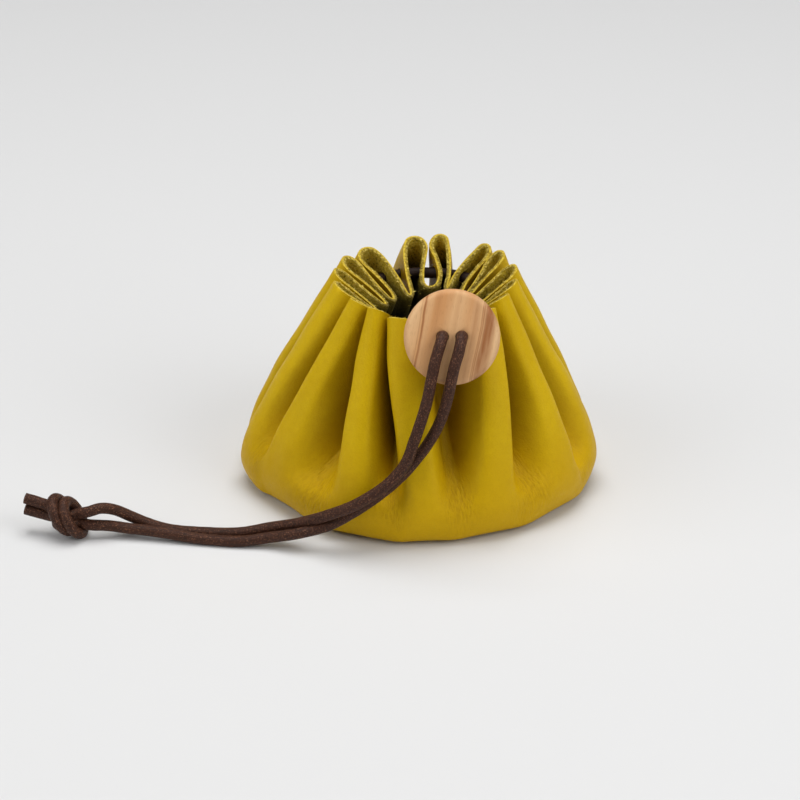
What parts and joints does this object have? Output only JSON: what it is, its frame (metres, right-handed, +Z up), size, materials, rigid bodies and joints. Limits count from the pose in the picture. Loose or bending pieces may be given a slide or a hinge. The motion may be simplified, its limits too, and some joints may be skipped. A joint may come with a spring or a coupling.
{
  "type": "leather drawstring coin purse",
  "caption": "Small round pouch gathered from one leather disc by a cord that runs through its pleats and a flat wooden toggle and ends in a knot; stands open-mouthed on a flat base.",
  "frame": {"origin": "centre of the flat base, on the surface that the purse stands on", "axes": "+Z up out of the mouth, -Y toward the side that the toggle hangs on, +X to the right seen from that side"},
  "size_m": [0.1546, 0.0931, 0.0689],
  "materials": {
    "leather": "smooth mustard grain side, pale cut edge, olive suede inside",
    "wood": "pale open-grained wood, sanded and lightly waxed",
    "cord": "dark brown round cord, lightly waxed"
  },
  "bodies": {
    "root": {"pouch": "leather", "gather_cord": "cord", "toggle": "wood", "cord_left": "cord", "cord_right": "cord", "knot": "cord"}
  },
  "joints": []
}
